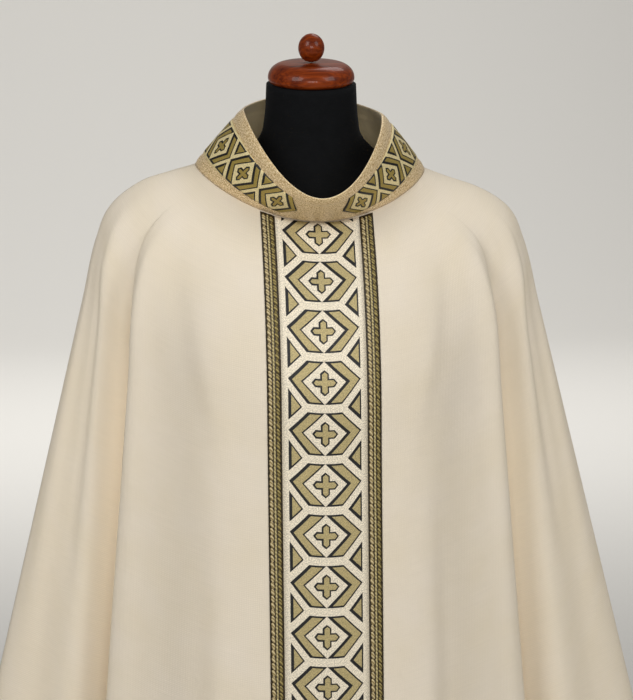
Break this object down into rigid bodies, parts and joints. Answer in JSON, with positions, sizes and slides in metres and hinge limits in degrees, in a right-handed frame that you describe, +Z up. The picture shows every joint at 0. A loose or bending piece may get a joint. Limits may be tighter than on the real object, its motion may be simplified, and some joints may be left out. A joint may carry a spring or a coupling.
{
  "type": "monastic chasuble on a dress form",
  "caption": "Wide, long ivory chasuble with a stand-off gold collar, a galloon orphrey edged with braid at front and back, worn on a limbless dress form with a wooden neck cap, on a pole stand.",
  "frame": {"origin": "middle of the stand base's underside, on the floor under the pole", "axes": "+Z up, -Y towards the garment's front, +X towards the viewer's right of the front"},
  "size_m": [0.8779, 0.4053, 1.6251],
  "materials": {
    "ivory_cloth": "matt woven wool, soft sheen",
    "gold_lame": "pale gold lame",
    "galloon": "woven cream and gold galloon with black outlines",
    "braid": "gold and brown cord braid",
    "form_jersey": "matt black jersey",
    "varnished_wood": "gloss red-brown varnish",
    "base_paint": "satin black",
    "pole_steel": "satin"
  },
  "bodies": {
    "root": {"front_panel": "ivory_cloth", "back_panel": "ivory_cloth", "collar": "gold_lame", "collar_facing": "gold_lame", "collar_galloon": "galloon", "front_galloon": "galloon", "front_braid_left": "braid", "front_braid_right": "braid", "back_galloon": "galloon", "back_braid_left": "braid", "back_braid_right": "braid", "form_body": "form_jersey", "neck_cap": "varnished_wood", "cap_knob": "varnished_wood", "stand_base": "base_paint", "stand_pole": "pole_steel"}
  },
  "joints": []
}
